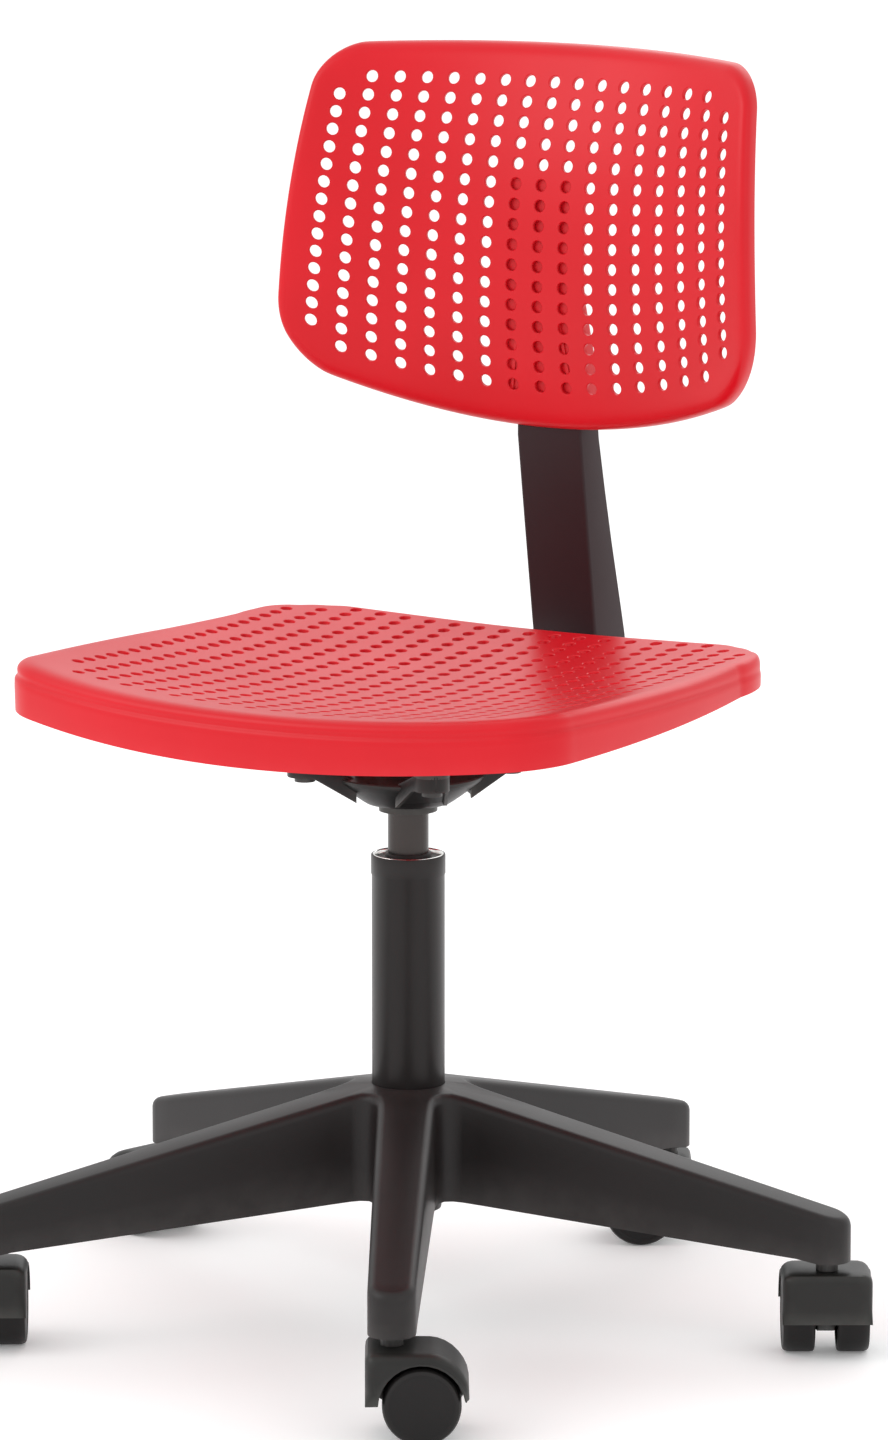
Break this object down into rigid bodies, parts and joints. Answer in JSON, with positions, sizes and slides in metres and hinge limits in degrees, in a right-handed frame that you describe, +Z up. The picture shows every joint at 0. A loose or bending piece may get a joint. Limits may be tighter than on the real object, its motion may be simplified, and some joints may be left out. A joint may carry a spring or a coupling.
{
  "type": "swivel desk chair",
  "caption": "Swivel desk chair with a perforated plastic seat and backrest, a gas lift column, a star base and twin-wheel castors.",
  "frame": {"origin": "on the column's axis at floor level, where the castors rest", "axes": "+Z up, the sitter faces -Y, +X is the sitter's left"},
  "size_m": [0.6607, 0.63, 0.8642],
  "materials": {
    "red_plastic": "moulded polypropylene, semi-gloss",
    "black_plastic": "glass-filled nylon, satin",
    "wheel_plastic": "nylon wheel, satin",
    "black_bar": "moulded bar, satin",
    "black_steel": "black powder coat",
    "dark_steel": "black semi-gloss enamel",
    "bright_steel": "bright plated",
    "steel": "zinc plated"
  },
  "bodies": {
    "base": {"star_base": "black_plastic", "column_tube": "black_steel", "guide_bush": "black_plastic", "tube_ring": "bright_steel", "thrust_bearing": "steel", "castor_stems": "steel", "grip_rings": "steel"},
    "rod": {"piston_rod": "steel", "retaining_clip": "steel", "gas_piston": "steel"},
    "seat": {"lift_cylinder": "dark_steel", "cylinder_gland": "steel", "taper_socket": "black_steel", "seat_plate": "black_steel", "bar_bracket": "black_steel", "lever_bracket": "black_steel", "lever_pin": "steel", "seat_screws": "steel", "bar_screws": "steel", "back_bar": "black_bar", "seat_shell": "red_plastic", "backrest_shell": "red_plastic", "back_screws": "steel"},
    "lever": {"lever_rod": "black_steel", "lever_handle": "black_plastic"},
    "button": {"release_button": "steel"},
    "castor_left": {"castor_housing_left": "black_plastic", "castor_axle_left": "steel"},
    "wheel_left_a": {"castor_wheel_left_a": "wheel_plastic"},
    "wheel_left_b": {"castor_wheel_left_b": "wheel_plastic"},
    "castor_back": {"castor_housing_back": "black_plastic", "castor_axle_back": "steel"},
    "wheel_back_a": {"castor_wheel_back_a": "wheel_plastic"},
    "wheel_back_b": {"castor_wheel_back_b": "wheel_plastic"},
    "castor_right": {"castor_housing_right": "black_plastic", "castor_axle_right": "steel"},
    "wheel_right_a": {"castor_wheel_right_a": "wheel_plastic"},
    "wheel_right_b": {"castor_wheel_right_b": "wheel_plastic"},
    "castor_front_right": {"castor_housing_front_right": "black_plastic", "castor_axle_front_right": "steel"},
    "wheel_front_right_a": {"castor_wheel_front_right_a": "wheel_plastic"},
    "wheel_front_right_b": {"castor_wheel_front_right_b": "wheel_plastic"},
    "castor_front_left": {"castor_housing_front_left": "black_plastic", "castor_axle_front_left": "steel"},
    "wheel_front_left_a": {"castor_wheel_front_left_a": "wheel_plastic"},
    "wheel_front_left_b": {"castor_wheel_front_left_b": "wheel_plastic"}
  },
  "joints": [
    {"name": "seat_swivel", "type": "hinge", "parent": "base", "child": "rod", "pos_m": [0, 0, 0.2], "axis": [0, 0, 1], "continuous": true},
    {"name": "gas_lift", "type": "slide", "parent": "rod", "child": "seat", "axis": [0, 0, 1], "range_m": [-0.028, 0.092]},
    {"name": "lever_pull", "type": "hinge", "parent": "seat", "child": "lever", "pos_m": [-0.028, 0, 0.4083], "axis": [0, 1, 0], "range_deg": [0, 6]},
    {"name": "button_press", "type": "slide", "parent": "seat", "child": "button", "axis": [0, 0, -1], "range_m": [0, 0.0031], "stiffness_N_per_m": 1500, "springref_m": -0.003},
    {"name": "swivel_left", "type": "hinge", "parent": "base", "child": "castor_left", "pos_m": [0.29431, 0.0631, 0.06], "axis": [0, 0, 1], "continuous": true},
    {"name": "roll_left_a", "type": "hinge", "parent": "castor_left", "child": "wheel_left_a", "pos_m": [0.28392, 0.0796, 0.026], "axis": [-0.8462, -0.5329, 0], "continuous": true},
    {"name": "roll_left_b", "type": "hinge", "parent": "castor_left", "child": "wheel_left_b", "pos_m": [0.28392, 0.0796, 0.026], "axis": [-0.8462, -0.5329, 0], "continuous": true},
    {"name": "swivel_back", "type": "hinge", "parent": "base", "child": "castor_back", "pos_m": [0.03094, 0.29941, 0.06], "axis": [0, 0, 1], "continuous": true},
    {"name": "roll_back_a", "type": "hinge", "parent": "castor_back", "child": "wheel_back_a", "pos_m": [0.01444, 0.28901, 0.026], "axis": [0.5329, -0.8462, 0], "continuous": true},
    {"name": "roll_back_b", "type": "hinge", "parent": "castor_back", "child": "wheel_back_b", "pos_m": [0.01444, 0.28901, 0.026], "axis": [0.5329, -0.8462, 0], "continuous": true},
    {"name": "swivel_right", "type": "hinge", "parent": "base", "child": "castor_right", "pos_m": [-0.27519, 0.12195, 0.06], "axis": [0, 0, 1], "continuous": true},
    {"name": "roll_right_a", "type": "hinge", "parent": "castor_right", "child": "wheel_right_a", "pos_m": [-0.29419, 0.12633, 0.026], "axis": [-0.225, -0.9744, 0], "continuous": true},
    {"name": "roll_right_b", "type": "hinge", "parent": "castor_right", "child": "wheel_right_b", "pos_m": [-0.29419, 0.12633, 0.026], "axis": [-0.225, -0.9744, 0], "continuous": true},
    {"name": "swivel_front_right", "type": "hinge", "parent": "base", "child": "castor_front_right", "pos_m": [-0.20102, -0.22404, 0.06], "axis": [0, 0, 1], "continuous": true},
    {"name": "roll_front_right_a", "type": "hinge", "parent": "castor_front_right", "child": "wheel_front_right_a", "pos_m": [-0.21141, -0.20754, 0.026], "axis": [-0.8462, -0.5329, 0], "continuous": true},
    {"name": "roll_front_right_b", "type": "hinge", "parent": "castor_front_right", "child": "wheel_front_right_b", "pos_m": [-0.21141, -0.20754, 0.026], "axis": [-0.8462, -0.5329, 0], "continuous": true},
    {"name": "swivel_front_left", "type": "hinge", "parent": "base", "child": "castor_front_left", "pos_m": [0.15095, -0.26041, 0.06], "axis": [0, 0, 1], "continuous": true},
    {"name": "roll_front_left_a", "type": "hinge", "parent": "castor_front_left", "child": "wheel_front_left_a", "pos_m": [0.16746, -0.25002, 0.026], "axis": [-0.5329, 0.8462, 0], "continuous": true},
    {"name": "roll_front_left_b", "type": "hinge", "parent": "castor_front_left", "child": "wheel_front_left_b", "pos_m": [0.16746, -0.25002, 0.026], "axis": [-0.5329, 0.8462, 0], "continuous": true}
  ],
  "couplings": [
    {"joint": "button_press", "follows": "lever_pull", "m_per_rad": 0.02865}
  ]
}
